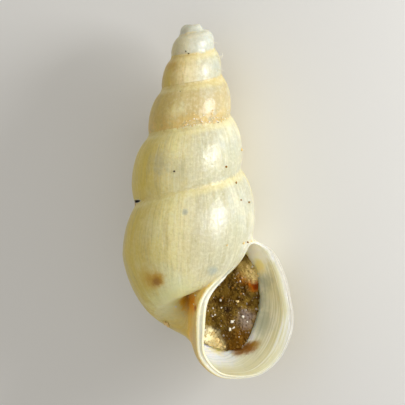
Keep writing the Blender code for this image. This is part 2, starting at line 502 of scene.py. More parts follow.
def hollow_stretch(start, end):
    """A stretch of the hollow tube, which stops half way into the wall of the whorl before it."""
    visible = end == LAST_TURN
    inner_step = COARSER * STEP_LENGTH if visible else HIDDEN_STEP_LENGTH
    outer = [section(start - SEAM_TURNS, SEAM_INSET)]
    outer += [section(turn) for turn in turns_between(start, end, STEP_LENGTH)]
    inner = [section(start - SEAM_TURNS, WALL - SEAM_INSET, 1.0)]
    inner += [section(turn, WALL, 1.0) for turn in turns_between(start, end, inner_step)]
    lip = [section(end, WALL * share, share, crown) for share, crown in LIP_PROFILE] if visible else []
    rows = outer + lip + inner[::-1] + outer[:1]
    piece = sweep("hollow stretch", rows, ring_points_at(end, RING_LENGTH))
    combine(piece, core(start, end, WALL / 2), "DIFFERENCE")
    return piece


shell = solid_stretch(0.0, STRETCH_TURNS)
start = STRETCH_TURNS
while start < LAST_TURN - STRETCH_TURNS:
    end = start + STRETCH_TURNS
    if end + STRETCH_TURNS > LAST_TURN:
        end = LAST_TURN
    stretch = hollow_stretch(start, end) if start >= HOLLOW_FROM_TURN else solid_stretch(start, end)
    combine(shell, stretch, "UNION")
    start = end
shell.name = "snail_shell"

# A seam is a valley between faces that meet at more than this angle. A corner that joining made has turn 0,
# which no swept corner has.
SEAM_ANGLE = math.radians(22)
NEW_CORNER_BELOW = 0.002


def mark_sutures(piece):
    """Stores how far each point is from the nearest seam between two whorls, in millimetres.

    The corners that joining made on the seams carry no numbers yet, and take those of the younger whorl. Seams
    are looked for on the outer skin, in the upper half of the sections.
    """
    shape = bmesh.new()
    shape.from_mesh(piece.data)
    numbers = shape.verts.layers.float
    inside_of, around_of, turn_of = numbers["inside"], numbers["around"], numbers["turn"]
    for vert in [vert for vert in shape.verts if vert[turn_of] < NEW_CORNER_BELOW]:
        newest = max((edge.other_vert(vert) for edge in vert.link_edges), key=lambda other: other[turn_of])
        for number in numbers.values():
            vert[number] = newest[number]
    distance_of = numbers.new("suture")
    seams = []
    for edge in shape.edges:
        near = [vert for face in edge.link_faces for vert in face.verts]
        sharp = edge.calc_face_angle_signed(0.0) < -SEAM_ANGLE
        if sharp and max(vert[inside_of] for vert in near) < 0.5 < max(vert[around_of] for vert in near):
            seams.append(edge)
    nearest = KDTree(len(seams))
    for index, edge in enumerate(seams):
        nearest.insert((edge.verts[0].co + edge.verts[1].co) / 2, index)
    nearest.balance()
    for vert in shape.verts:
        vert[distance_of] = nearest.find(vert.co)[2] / MM
    shape.to_mesh(piece.data)
    shape.free()


mark_sutures(shell)

tree, wires = geometry_tree("Growth lines", (
    ("Line Spacing", 0.030),
    ("Line Depth", 0.0045),
    ("Line Wander", 1.3),
    ("Welt Spacing", 0.16),
    ("Welt Depth", 0.006),
    ("Fillet Reach", 0.045),
    ("Fillet Full Within", 0.25),
    ("Fillet Steps", 10),
    ("Smooth Tip Until", 0.5),
    ("Smooth Tip Fades By", 1.2),
    ("Line Seed", 3.0),
    ("Welt Seed", 12.0),
))
OUTER_SKIN = 0.02


def growth_noise(spacing, seed):
    """Noise that changes along the growth path and hardly round the tube."""
    place = point_of(tree, read(tree, "grown") / spacing, read(tree, "around") * wires["Line Wander"], seed)
    return Wire.node(tree, "ShaderNodeTexNoise", None, {"Vector": place, "Scale": 1.0, "Detail": 1.0}) - 0.5


outer_skin = 1 - read(tree, "inside").above(OUTER_SKIN)
relief = growth_noise(wires["Line Spacing"], wires["Line Seed"]) * wires["Line Depth"]
relief = relief + growth_noise(wires["Welt Spacing"], wires["Welt Seed"]) * wires["Welt Depth"]
step = scaled(tree, Wire.node(tree, "GeometryNodeInputNormal"), relief * outer_skin * MM)
near_seam = 1 - (read(tree, "suture") / wires["Fillet Reach"]).soft_step(wires["Fillet Full Within"], 1.0)
near_tip = 1 - read(tree, "turn").soft_step(wires["Smooth Tip Until"], wires["Smooth Tip Fades By"])
filled = Wire.node(tree, "GeometryNodeBlurAttribute", {"data_type": "FLOAT_VECTOR"}, {
    "Value": Wire.node(tree, "GeometryNodeInputPosition"),
    "Iterations": wires["Fillet Steps"],
    "Weight": near_seam.math("MAXIMUM", near_tip),
})
raised_inputs = {"Geometry": wires["Geometry"], "Position": filled, "Offset": step}
finish_tree(tree, Wire.node(tree, "GeometryNodeSetPosition", None, raised_inputs), shell_material)
run_tree(shell, tree)

# It is laid on its side as it comes to rest, and the two spots that touch are worn flat against the ground.
ROLL = math.radians(24.0)
PITCH = math.radians(-2.9)
FLAT_DEPTH = 0.022
GROUND_WIDTH = 10
GROUND_DEPTH = 2
turned = Matrix.Rotation(PITCH, 4, "X") @ Matrix.Rotation(ROLL, 4, "Y")
shell.data.transform(turned)
low = Vector([min(vert.co[axis] for vert in shell.data.vertices) for axis in range(3)])
high = Vector([max(vert.co[axis] for vert in shell.data.vertices) for axis in range(3)])
place = Matrix.Translation((-(low.x + high.x) / 2, -(low.y + high.y) / 2, -low.z - FLAT_DEPTH * MM))
shell.data.transform(place)
laid = place @ turned @ Matrix.Scale(MM, 4)
bpy.ops.mesh.primitive_cube_add(size=1.0)
ground = bpy.context.object
ground_size = Matrix.Diagonal((GROUND_WIDTH * MM, GROUND_WIDTH * MM, GROUND_DEPTH * MM, 1))
ground.data.transform(Matrix.Translation((0, 0, -GROUND_DEPTH / 2 * MM)) @ ground_size)
combine(shell, ground, "DIFFERENCE")
shell.data.materials.clear()
shell.data.materials.append(shell_material)

# Seen from the front, the mouth faces the viewer and the axis leans a little.
SEEN_TILT = math.radians(4.0)
SEEN_LEAN = math.radians(-1.3)
SEEN_PIVOT = Vector((0, 1.5, 0))
seen = (
    Matrix.Rotation(SEEN_LEAN, 4, "Z") @ Matrix.Translation(SEEN_PIVOT)
    @ Matrix.Rotation(SEEN_TILT, 4, "X") @ Matrix.Translation(-SEEN_PIVOT)
)
from_seen = laid @ seen.inverted()

# A short crack runs along the lowest suture on the left.
CRACK_AT = Vector((-0.520, 1.764, 0.12))
CRACK_SIZE = (0.080, 0.0150, 0.170)
CRACK_SLOPE = math.radians(9)
SHELL_SHARP = math.radians(50)
bpy.ops.mesh.primitive_ico_sphere_add(subdivisions=3, radius=1.0)
crack = bpy.context.object
opened = Matrix.Rotation(CRACK_SLOPE, 4, "Z") @ Matrix.Diagonal((*CRACK_SIZE, 1))
crack.data.transform(from_seen @ Matrix.Translation(CRACK_AT) @ opened)
combine(shell, crack, "DIFFERENCE")
shell.data.shade_smooth()
shell.data.set_sharp_from_angle(angle=SHELL_SHARP)
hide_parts("shell")
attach(shell, "root")


def linear(red, green, blue):
    """A colour for a shader, from its values on a screen, which go up to 255."""
    shares = [value / 255 for value in (red, green, blue)]
    bright = [((share + 0.055) / 1.055) ** 2.4 if share > 0.04 else share / 12.92 for share in shares]
    return (*bright, 1.0)


def blend(tree, factor, first, second):
    """Mixes two colours."""
    return Wire.node(tree, "ShaderNodeMix", {"data_type": "RGBA"}, {"Factor": factor, 6: first, 7: second}, 2)


def layered(tree, colour, layers):
    """Lays colours over each other. Each layer has a mask, its strength there, and a colour."""
    for mask, strength, tone in layers:
        colour = blend(tree, mask * strength, colour, linear(*tone))
    return colour


def colour_ramp(tree, factor, stops):
    """A colour that changes with a number from 0 to 1."""
    stops = [(place, linear(*tone)) for place, tone in stops]
    return Wire.node(tree, "ShaderNodeValToRGB", {"stops": stops}, {"Fac": factor})


def start_material(made):
    """Returns a material's tree, its shader and the place on the surface in millimetres."""
    made.use_nodes = True
    tree = made.node_tree
    shader = tree.nodes["Principled BSDF"]
    spot = Wire.node(tree, "ShaderNodeTexCoord").other("Object")
    inputs = {"Vector": spot, "Scale": (1 / MM, 1 / MM, 1 / MM)}
    return tree, shader, Wire.node(tree, "ShaderNodeMapping", None, inputs)


def stored(tree, name):
    """A number stored on the mesh, read by a shader."""
    return Wire.node(tree, "ShaderNodeAttribute", {"attribute_name": name}, None, "Fac")


def mottle(tree, where, size, detail=2.0, roughness=0.5):
    """Soft noise from 0 to 1 with lumps of about this size in millimetres."""
    inputs = {"Vector": where, "Scale": 0.5 / size, "Detail": detail, "Roughness": roughness}
    return Wire.node(tree, "ShaderNodeTexNoise", None, inputs)


def surface_of(piece):
    """A piece's faces, in millimetres, to find places on."""
    corners = [vert.co / MM for vert in piece.data.vertices]
    return BVHTree.FromPolygons(corners, [face.vertices for face in piece.data.polygons])


# Places are looked for from this far in front of the axis, in millimetres.
IN_FRONT = 5


def on_surface(right, up, surface):
    """The point and the way out of the surface, in millimetres, at this place on the shell as it is seen."""
    start = from_seen @ Vector((right, up, IN_FRONT)) / MM
    behind = from_seen @ Vector((right, up, 0)) / MM
    point, normal = surface.ray_cast(start, (behind - start).normalized())[:2]
    if point is None:
        point, normal = surface.find_nearest(behind)[:2]
    return point, normal


# A patch's depth, be it stain, painted light or painted shade, counts for less than its width, its edge
# wanders by a share of its width, and a soft one spreads.
PATCH_DEPTH = 0.45
PATCH_RAGGED = 0.8
PATCH_SPREAD = 0.4


def lay_stain_and_light_patches(tree, colour, where, ragged, stains_and_light_patches, surface, softness):
    """Lays stain, painted light and painted shade in ragged patches, each centred where it is seen on the
    surface.
    """
    axes = [tuple(from_seen.to_quaternion() @ Vector(axis)) for axis in ((1, 0, 0), (0, 1, 0), (0, 0, 1))]
    rightward, upward, depth = [vector(tree, "DOT_PRODUCT", where, axis) for axis in axes]
    flat_place = point_of(tree, rightward, upward, depth * PATCH_DEPTH)
    for right, up, width, strength, tone in stains_and_light_patches:
        centre = from_seen.to_quaternion().inverted() @ on_surface(right, up, surface)[0]
        centre.z *= PATCH_DEPTH
        distance = vector(tree, "DISTANCE", flat_place, tuple(centre)) + (ragged - 0.5) * width * PATCH_RAGGED
        reach = distance.rise(width * 0.5 * (1 - softness), width * 0.5 * (1 + softness * PATCH_SPREAD))
        colour = blend(tree, (1 - reach) * strength, colour, linear(*tone))
    return colour


# Worn places and stain marks, a few pools of painted light and a spot of painted shade, as seen: how far right
# of the axis and up from the mouth, width, strength, colour.
SHELL_STAINS_AND_PAINTED_LIGHT = (
    # Painted light: a broad pale pool that lifts the shade low on the body's left side.
    (-0.120, 0.780, 0.54, 0.75, (255, 244, 180)),
    (-0.380, 1.000, 0.28, 0.55, (206, 170, 30)),
    (-0.315, 0.985, 0.20, 0.95, (196, 150, 0)),
    (-0.305, 0.965, 0.10, 0.70, (150, 100, 0)),
    # Painted light: a smaller pale pool over the same place.
    (-0.090, 0.790, 0.26, 0.40, (250, 226, 140)),
    (0.000, 0.790, 0.22, 0.85, (214, 176, 0)),
    (0.050, 0.730, 0.24, 0.95, (226, 166, 0)),
    (0.080, 0.700, 0.08, 0.95, (170, 76, 0)),
    (-0.060, 0.520, 0.44, 0.40, (240, 190, 60)),
    (0.630, 0.305, 0.15, 0.95, (138, 92, 0)),
    (0.500, 0.285, 0.16, 0.95, (132, 88, 0)),
    (0.690, 0.335, 0.12, 0.80, (150, 116, 0)),
    (0.570, 0.285, 0.14, 0.95, (126, 82, 0)),
    (0.310, 0.290, 0.18, 0.60, (244, 216, 140)),
    # Painted light: two pale pools that lift the shade at the top of the mouth's inner wall.
    (0.650, 1.270, 0.44, 0.80, (255, 252, 230)),
    (0.700, 1.190, 0.34, 0.80, (255, 254, 238)),
    (0.725, 1.110, 0.17, 0.75, (236, 212, 150)),
    (0.780, 0.960, 0.22, 0.60, (146, 162, 158)),
    (0.740, 0.560, 0.28, 0.55, (150, 166, 158)),
    (0.730, 0.760, 0.22, 0.55, (150, 164, 154)),
    # Painted shade: a near-black spot in the crack; the orange-brown one below it is a stain.
    (-0.505, 1.762, 0.06, 1.00, (44, 26, 4)),
    (-0.520, 1.735, 0.05, 0.95, (160, 90, 0)),
    (0.250, 1.080, 0.12, 0.50, (150, 168, 168)),
    (-0.020, 1.660, 0.06, 0.55, (130, 150, 150)),
    (-0.110, 2.050, 0.34, 0.30, (160, 166, 146)),
    (-0.260, 2.150, 0.26, 0.30, (164, 168, 144)),
    (0.150, 2.280, 0.24, 0.12, (178, 184, 166)),
    (-0.160, 3.140, 0.16, 0.50, (190, 150, 50)),
    (0.290, 3.120, 0.12, 0.35, (170, 178, 172)),
)
SHELL_SOFTNESS = 0.8

# The body's colour, painted by how the surface faces the key light: yellow painted shade on the side turned
# away from it, pale painted light on the side turned towards it, over the shell's own cream tone.
BODY_SHADE_TO_LIGHT_COLOURS = (
    (0.00, (208, 184, 92)),
    (0.36, (214, 190, 72)),
    (0.64, (248, 229, 164)),
    (0.85, (207, 202, 174)),
    (1.00, (192, 193, 174)),
)
LIGHT_FROM = Vector((0.80, 0.15, 0.58))

shell_surface = surface_of(shell)
tree, shader, where = start_material(shell_material)
turn, grown, around = stored(tree, "turn"), stored(tree, "grown"), stored(tree, "around")
inside, suture = stored(tree, "inside"), stored(tree, "suture")
cloud = mottle(tree, where, size=0.30)
haze = mottle(tree, where, size=0.10, detail=3.0, roughness=0.6)
ragged = mottle(tree, where, size=0.045, detail=4.0, roughness=0.7)
pits = mottle(tree, where, size=0.032, roughness=0.6)
grain = mottle(tree, where, size=0.017, roughness=0.7)


def growth_streaks(spacing, lean, seed):
    """Noise from 0 to 1 in narrow lines across the growth path."""
    place = point_of(tree, grown / spacing, around * lean, seed)
    inputs = {"Vector": place, "Scale": 1.0, "Detail": 3.0, "Roughness": 0.6}
    return Wire.node(tree, "ShaderNodeTexNoise", None, inputs)


wide_streaks = growth_streaks(spacing=0.17, lean=1.4, seed=0.5)
fine_streaks = growth_streaks(spacing=0.034, lean=3.0, seed=7.0)
ring_lines = growth_streaks(spacing=0.040, lean=1.6, seed=3.0)
light_side = tuple((from_seen.to_quaternion() @ LIGHT_FROM).normalized())
facing = vector(tree, "DOT_PRODUCT", Wire.node(tree, "ShaderNodeTexCoord").other("Normal"), light_side)
# Painted light: the pale flecks below are painted stronger on the side that faces the key light.
painted_light_share = facing.rise(-0.45, 0.55) * 0.65 + 0.35
brown_whorls = turn.rise(2.2, 2.5) * (1 - turn.rise(3.6, 3.9))
below_suture = (1 - suture.rise(0.04, 0.10)) * around.rise(0.55, 0.75)
seam_line = 1 - (suture + (ragged - 0.5) * 0.030).rise(0.002, 0.034)
seam_line = seam_line * turn.above(0.8) * (1 - inside.rise(0.1, 0.5))
gritty = (1 - suture.rise(0.05, 0.30)) * (1 - around.rise(0.40, 0.75))
gritty = gritty * turn.rise(3.05, 3.2) * (1 - turn.rise(3.7, 3.85))
# Painted light and shade: the base colour runs from the shaded side to the lit side, and the shell's marks go
# over it.
body = layered(tree, colour_ramp(tree, facing * 0.5 + 0.5, BODY_SHADE_TO_LIGHT_COLOURS), (
    # Grey clouds where the inside shows through, and milky ones that are painted stronger towards the key
    # light.
    (cloud.rise(0.52, 0.40), 0.24, (184, 178, 126)),
    (cloud.rise(0.54, 0.66) * painted_light_share, 0.45, (244, 236, 200)),
    # Dull and pale growth bands, and fine lines over them; the pale ones are painted stronger towards the key
    # light.
    (wide_streaks.rise(0.50, 0.66), 0.30, (176, 168, 126)),
    (wide_streaks.rise(0.46, 0.30) * painted_light_share, 0.32, (240, 236, 208)),
    (fine_streaks.rise(0.50, 0.66), 0.24, (172, 164, 108)),
    (fine_streaks.rise(0.46, 0.30) * painted_light_share, 0.25, (244, 240, 214)),
    # The brown cast of the middle whorls, the pale band below a suture, the seam, and a limy belt above one.
    (brown_whorls * haze.rise(0.16, 0.60), 0.62, (186, 160, 88)),
    (below_suture, 0.42, (240, 226, 162)),
    (seam_line, 0.18, (214, 190, 100)),
    (gritty * ragged.rise(0.42, 0.56), 0.50, (232, 192, 100)),
    # The grey tip, and a fine grain all over, whose pale flecks are painted stronger towards the key light.
    (1 - turn.rise(0.9, 2.1), 0.80, (196, 202, 196)),
    (grain.rise(0.50, 0.66) * painted_light_share, 0.17, (252, 248, 226)),
    (grain.rise(0.49, 0.34), 0.13, (160, 140, 70)),
))

# The inside is pearly, with pale and grey rings, and duller towards the lip.
pearl = blend(tree, turn.rise(5.86, 6.02), linear(238, 246, 250), linear(206, 200, 166))
pearl = layered(tree, pearl, (
    (ring_lines.rise(0.50, 0.62), 0.60, (250, 249, 240)),
    (ring_lines.rise(0.47, 0.36), 0.45, (172, 180, 164)),
    (haze.rise(0.45, 0.65), 0.25, (222, 216, 176)),
))

# The lip's rims are pale, the groove between them is grey, and dirt sticks to the outer rim here and there.
lip_edge = inside.rise(0.01, 0.06) * (1 - inside.rise(0.90, 0.99))
groove = inside.rise(0.24, 0.42) * (1 - inside.rise(0.62, 0.80))
outer_rim = turn.rise(6.035, 6.058) * (1 - inside.rise(0.02, 0.2))
colour = layered(tree, blend(tree, inside.rise(0.3, 0.7), body, pearl), (
    (lip_edge, 0.85, (222, 216, 186)),
    (groove, 0.85, (166, 166, 146)),
    (outer_rim * ragged.rise(0.35, 0.6), 0.5, (196, 164, 88)),
))
relief = grain + pits * 2.6 + fine_streaks * 0.8 + ring_lines * inside * 1.8
bump_inputs = {"Strength": 0.6, "Distance": 0.0038 * MM, "Height": relief}
Wire.feed(shader, {
    "Base Color": lay_stain_and_light_patches(tree, colour, where, ragged, SHELL_STAINS_AND_PAINTED_LIGHT, shell_surface, SHELL_SOFTNESS),
    "Roughness": grain * 0.26 + 0.225,
    "Normal": Wire.node(tree, "ShaderNodeBump", None, bump_inputs),
    "Subsurface Weight": 0.85,
    "Subsurface Radius": (1.0, 0.82, 0.50),
    "Subsurface Scale": 0.14 * MM,
    "IOR": 1.58,
})


# Dried cave sediment fills the shell's throat and clings to its wall. It is brown silt and fine sand, lumpy
# where it broke, with small crystals and rust-coloured and beige patches; its pit is only a near-black spot of
# painted shade. Its solid is meshed evenly and rounded, the front is broken up, and sand is scattered on that.
SEDIMENT_CELL = 0.011
SEDIMENT_WEAR = 0.5
SEDIMENT_WEAR_STEPS = 12
SEDIMENT_SHARP = math.radians(34)
BROKEN_FACE = Vector((0.10, -0.05, 1.0))
FRONT_FROM = 0.25
FRONT_TO = 0.75

# A sand grain's size, length each way, turn and colour lie at random between these. The largest is so many
# times the sand's size.
SAND_SIZES = (0.45, 1.0)
SAND_SIZE_POWER = 2.0
SAND_LARGEST = 1.6
SAND_SHAPES = ((0.7, 0.6, 0.8), (1.3, 1.1, 1.5))
SAND_TURNS = ((0, 0, 0), (6.28, 6.28, 6.28))
SAND_TINTS = (0.05, 1.0)

sediment_material = bpy.data.materials.new("dried_sediment")
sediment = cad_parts["sediment_plug"].copy()
sediment.data = sediment.data.copy()
sediment.parent = None
sediment.name = "mouth_sediment"
bpy.context.scene.collection.objects.link(sediment)
shape = bmesh.new()
shape.from_mesh(sediment.data)
bmesh.ops.remove_doubles(shape, verts=shape.verts, dist=1e-9)
bmesh.ops.scale(shape, vec=(1 / MM,) * 3, verts=shape.verts)
shape.to_mesh(sediment.data)
shape.free()
remesh = sediment.modifiers.new("Even cells", "REMESH")
remesh.mode = "VOXEL"
remesh.voxel_size = SEDIMENT_CELL
smooth = sediment.modifiers.new("Worn", "SMOOTH")
smooth.factor = SEDIMENT_WEAR
smooth.iterations = SEDIMENT_WEAR_STEPS
settle(sediment)
sediment.data.transform(Matrix.Scale(MM, 4))

tree, wires = geometry_tree("Broken sediment", (
    ("Face", "NodeSocketVector"),
    ("Lump Size", 0.17),
    ("Lump Height", 0.085),
    ("Crumb Size", 0.055),
    ("Crumb Height", 0.052),
    ("Grain Size", 0.028),
    ("Grain Height", 0.024),
    ("Sand Per Square", 1500.0),
    ("Sand Size", 0.0095),
    ("Sand Shape", "NodeSocketObject"),
    ("Seed", 4),
))
spot = scaled(tree, Wire.node(tree, "GeometryNodeInputPosition"), 1 / MM)
front = vector(tree, "DOT_PRODUCT", Wire.node(tree, "GeometryNodeInputNormal"), wires["Face"])
front = front.rise(FRONT_FROM, FRONT_TO)


def lumps(size, shift):
    """Rounded noise from about -0.5 to 0.5 with lumps of this size in millimetres."""
    inputs = {"Vector": vector(tree, "ADD", spot, (shift, shift, shift)), "Scale": 0.5 / size, "Detail": 1.5}
    return Wire.node(tree, "ShaderNodeTexNoise", None, inputs) - 0.5


def chance(kind, low, high, seed):
    """A random number or vector for each grain. The node's sockets for a vector come first."""
    first = {"FLOAT_VECTOR": 0, "FLOAT": 2}[kind]
    inputs = {first: low, first + 1: high, "Seed": seed}
    return Wire.node(tree, "FunctionNodeRandomValue", {"data_type": kind}, inputs, first // 2)


cell_inputs = {"Vector": spot, "Scale": 1 / wires["Grain Size"]}
cells = Wire.node(tree, "ShaderNodeTexVoronoi", {"feature": "F1"}, cell_inputs)
height = lumps(wires["Lump Size"], shift=1.7) * wires["Lump Height"]
height = height + lumps(wires["Crumb Size"], shift=5.1) * wires["Crumb Height"]
height = (height - cells * wires["Grain Height"]) * front
marked = store(tree, wires["Geometry"], "tint", 0.0)
marked = store(tree, marked, "front", front)
broken_inputs = {"Geometry": marked, "Offset": scaled(tree, wires["Face"], height * MM)}
broken = Wire.node(tree, "GeometryNodeSetPosition", None, broken_inputs)
density = read(tree, "front") * wires["Sand Per Square"] / MM ** 2
places = {"Mesh": broken, "Density": density, "Seed": wires["Seed"]}
sand_points = Wire.node(tree, "GeometryNodeDistributePointsOnFaces", {"distribute_method": "RANDOM"}, places)
sand_points = store(tree, sand_points, "tint", chance("FLOAT", *SAND_TINTS, seed=11))
grain_size = chance("FLOAT", *SAND_SIZES, seed=12) ** SAND_SIZE_POWER * wires["Sand Size"] * SAND_LARGEST
sand = Wire.node(tree, "GeometryNodeInstanceOnPoints", None, {
    "Points": sand_points,
    "Instance": Wire.node(tree, "GeometryNodeObjectInfo", None, {"Object": wires["Sand Shape"]}, "Geometry"),
    "Rotation": chance("FLOAT_VECTOR", *SAND_TURNS, seed=14),
    "Scale": scaled(tree, chance("FLOAT_VECTOR", *SAND_SHAPES, seed=13), grain_size),
})
joined = Wire.node(tree, "GeometryNodeJoinGeometry", None, {"Geometry": [sand, broken]})
finish_tree(tree, joined, sediment_material)

bpy.ops.mesh.primitive_ico_sphere_add(subdivisions=1, radius=MM)
sand_grain = bpy.context.object
broken_towards = (laid.to_quaternion() @ BROKEN_FACE).normalized()
run_tree(sediment, tree, {"Face": broken_towards, "Sand Shape": sand_grain})
bpy.data.objects.remove(sand_grain)
sediment.data.shade_smooth()
sediment.data.set_sharp_from_angle(angle=SEDIMENT_SHARP)
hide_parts("sediment_plug")
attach(sediment, "root")

# Stain marks on the sediment, and a spot of painted shade for a pit, given as the shell's are.
SEDIMENT_STAINS_AND_PAINTED_SHADE = (
    (0.670, 0.945, 0.18, 0.95, (190, 104, 0)),
    (0.690, 0.920, 0.09, 0.90, (136, 52, 0)),
    (0.560, 1.000, 0.14, 0.90, (190, 112, 0)),
    (0.620, 1.090, 0.26, 0.90, (206, 178, 104)),
    (0.690, 1.080, 0.20, 0.90, (240, 218, 150)),
    (0.228, 0.420, 0.20, 1.00, (255, 244, 196)),
    (0.296, 0.322, 0.19, 1.00, (255, 238, 184)),
    (0.540, 0.370, 0.34, 0.95, (106, 68, 0)),
    (0.600, 0.420, 0.16, 0.60, (76, 48, 0)),
    (0.400, 0.420, 0.14, 0.70, (98, 66, 14)),
    (0.590, 0.590, 0.22, 0.60, (150, 136, 128)),
    # Painted shade: a near-black spot that stands for a pit.
    (0.400, 0.680, 0.10, 0.95, (44, 26, 4)),
    (0.420, 0.900, 0.36, 0.75, (84, 58, 0)),
)
SEDIMENT_SOFTNESS = 0.6

# The sand's colours, from brown grains to a few clear crystals.
SAND_COLOURS = (
    (0.00, (64, 40, 8)),
    (0.35, (112, 80, 26)),
    (0.70, (160, 128, 64)),
    (0.88, (176, 158, 128)),
    (0.96, (198, 190, 196)),
    (1.00, (248, 244, 232)),
)
sediment_surface = surface_of(sediment)
tree, shader, where = start_material(sediment_material)
tint = stored(tree, "tint")
blotch = mottle(tree, where, size=0.12)
clay = mottle(tree, where, size=0.050, detail=3.0, roughness=0.62)
ragged = mottle(tree, where, size=0.04, detail=4.0, roughness=0.7)
colour = blend(tree, clay.rise(0.34, 0.66), linear(74, 48, 2), linear(132, 106, 40))
colour = blend(tree, blotch.rise(0.50, 0.66) * 0.35, colour, linear(126, 106, 56))
colour = lay_stain_and_light_patches(tree, colour, where, ragged, SEDIMENT_STAINS_AND_PAINTED_SHADE, sediment_surface, SEDIMENT_SOFTNESS)

# A dusty grain shows about a third of its own colour, and a clear crystal all of it.
sand_colour = colour_ramp(tree, tint, SAND_COLOURS)
colour = blend(tree, tint.above(0.02) * 0.35, colour, sand_colour)
colour = blend(tree, tint.rise(0.975, 0.99), colour, sand_colour)
bump_inputs = {"Strength": 0.8, "Distance": 0.012 * MM, "Height": clay + ragged}
Wire.feed(shader, {
    "Base Color": colour,
    "Roughness": 0.94 - tint.rise(0.98, 0.995) * 0.55,
    "Normal": Wire.node(tree, "ShaderNodeBump", None, bump_inputs),
    "IOR": 1.28,
})


# Loose grains and crumbs of cave dirt and lime stick to the shell, to its sutures and to the sediment. Each is
# a separate speck, one to four hundredths of a millimetre across, partly sunk where it sticks.
# The four kinds are places on one range of colours, from dark to white.
DARK, BROWN, CREAM, WHITE = 0.05, 0.35, 0.70, 0.95
CRUMB_COLOURS = (
    (0.00, (40, 24, 10)),
    (0.20, (70, 44, 14)),
    (0.40, (160, 112, 24)),
    (0.65, (240, 208, 130)),
    (0.85, (240, 228, 196)),
    (1.00, (250, 250, 246)),
)

# Each crumb, as seen: how far right and up, its size, and its kind.
SHELL_CRUMBS = (
    (-0.012, 3.260, 0.006, DARK), (0.014, 3.238, 0.008, DARK), (-0.068, 2.860, 0.005, DARK),
    (0.308, 2.550, 0.006, DARK), (-0.126, 2.064, 0.008, DARK), (0.388, 2.110, 0.009, BROWN),
    (0.486, 1.950, 0.011, BROWN), (0.535, 1.780, 0.008, BROWN), (0.613, 1.756, 0.009, BROWN),
    (0.540, 2.280, 0.012, CREAM), (0.050, 0.845, 0.010, CREAM), (0.085, 0.830, 0.008, WHITE),
    (0.020, 0.812, 0.009, CREAM), (0.068, 0.740, 0.008, WHITE), (-0.117, 0.715, 0.009, WHITE),
    (-0.205, 0.545, 0.019, CREAM), (-0.228, 0.560, 0.015, CREAM), (-0.185, 0.520, 0.013, CREAM),
    (0.395, 1.330, 0.010, CREAM), (0.560, 1.350, 0.011, CREAM), (0.600, 1.362, 0.010, BROWN),
    (0.640, 1.366, 0.010, CREAM),
)
SEDIMENT_CRUMBS = (
    (0.448, 0.560, 0.018, WHITE), (0.428, 0.490, 0.020, WHITE), (0.470, 0.575, 0.008, WHITE),
    (0.278, 0.630, 0.009, WHITE), (0.345, 0.700, 0.006, WHITE), (0.560, 0.610, 0.011, WHITE),
    (0.600, 0.560, 0.008, WHITE), (0.300, 0.370, 0.020, CREAM), (0.340, 0.330, 0.018, CREAM),
    (0.260, 0.440, 0.020, CREAM), (0.380, 0.310, 0.014, CREAM), (0.510, 0.760, 0.014, CREAM),
    (0.540, 0.840, 0.012, BROWN), (0.450, 0.910, 0.015, BROWN), (0.350, 0.800, 0.014, BROWN),
    (0.640, 1.060, 0.015, CREAM), (0.700, 1.020, 0.013, CREAM), (0.600, 1.110, 0.014, CREAM),
)

# How far a crumb's middle stands out, how it is stretched, and its lumps, all in times its size.
CRUMB_STANDS_OUT = 0.35
CRUMB_STRETCH = (0.7, 1.3)
CRUMB_LUMPS = 1.3
CRUMB_LUMP_HEIGHT = 0.9
CRUMB_TINTS = 0.04
CRUMB_SHARP = math.radians(40)

# Fine lime grit lies above the second suture from the mouth: from where to where, a point on that suture, its
# slope, and how far the grit spreads.
GRIT_SEED = 5
GRIT_COUNT = 60
GRIT_SIZE = (0.0035, 0.0075)
GRIT_ALONG = (-0.05, 0.40)
GRIT_LINE = (0.05, 2.50)
GRIT_SLOPE = 0.20
GRIT_SPREAD = 0.055

chance_of = random.Random(GRIT_SEED)
shape = bmesh.new()
tint_of = shape.verts.layers.float.new("tint")


def crumb(right, up, size, tint, surface):
    """Adds one crumb where it shows at this place."""
    point, normal = on_surface(right, up, surface)
    stretch = Matrix.Diagonal([chance_of.uniform(*CRUMB_STRETCH) for axis in range(3)]).to_4x4()
    turn_about = Matrix.Rotation(chance_of.uniform(0, math.tau), 4, normal)
    centre = Matrix.Translation((point + normal * size * CRUMB_STANDS_OUT) * MM)
    placed = centre @ turn_about @ stretch @ Matrix.Scale(size * MM, 4)
    made = bmesh.ops.create_icosphere(shape, subdivisions=2, radius=1.0, matrix=placed)["verts"]
    for vert in made:
        vert[tint_of] = tint + chance_of.uniform(-CRUMB_TINTS, CRUMB_TINTS)
        lump = noise.noise(vert.co / (size * MM) * CRUMB_LUMPS)
        vert.co += (vert.co - placed.translation) * lump * CRUMB_LUMP_HEIGHT


for spot in SHELL_CRUMBS:
    crumb(*spot, shell_surface)
for spot in SEDIMENT_CRUMBS:
    crumb(*spot, sediment_surface)
for index in range(GRIT_COUNT):
    right = chance_of.uniform(*GRIT_ALONG)
    up = GRIT_LINE[1] + (right - GRIT_LINE[0]) * GRIT_SLOPE + abs(chance_of.gauss(0, GRIT_SPREAD))
    size = chance_of.uniform(*GRIT_SIZE)
    crumb(right, up, size, chance_of.choice((CREAM, CREAM, WHITE)), shell_surface)
mesh = bpy.data.meshes.new("stuck_crumbs")
shape.to_mesh(mesh)
shape.free()
crumbs = bpy.data.objects.new("stuck_crumbs", mesh)
bpy.context.scene.collection.objects.link(crumbs)
crumb_material = bpy.data.materials.new("stuck_crumbs")
mesh.materials.append(crumb_material)
mesh.shade_smooth()
mesh.set_sharp_from_angle(angle=CRUMB_SHARP)
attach(crumbs, "root")
tree, shader, where = start_material(crumb_material)
tint = stored(tree, "tint")
dusty = mottle(tree, where, size=0.008, detail=3.0).rise(0.45, 0.65)
Wire.feed(shader, {
    "Base Color": blend(tree, dusty * 0.25, colour_ramp(tree, tint, CRUMB_COLOURS), linear(150, 112, 60)),
    "Roughness": 0.85 - tint.rise(0.75, 0.92) * 0.60,
})


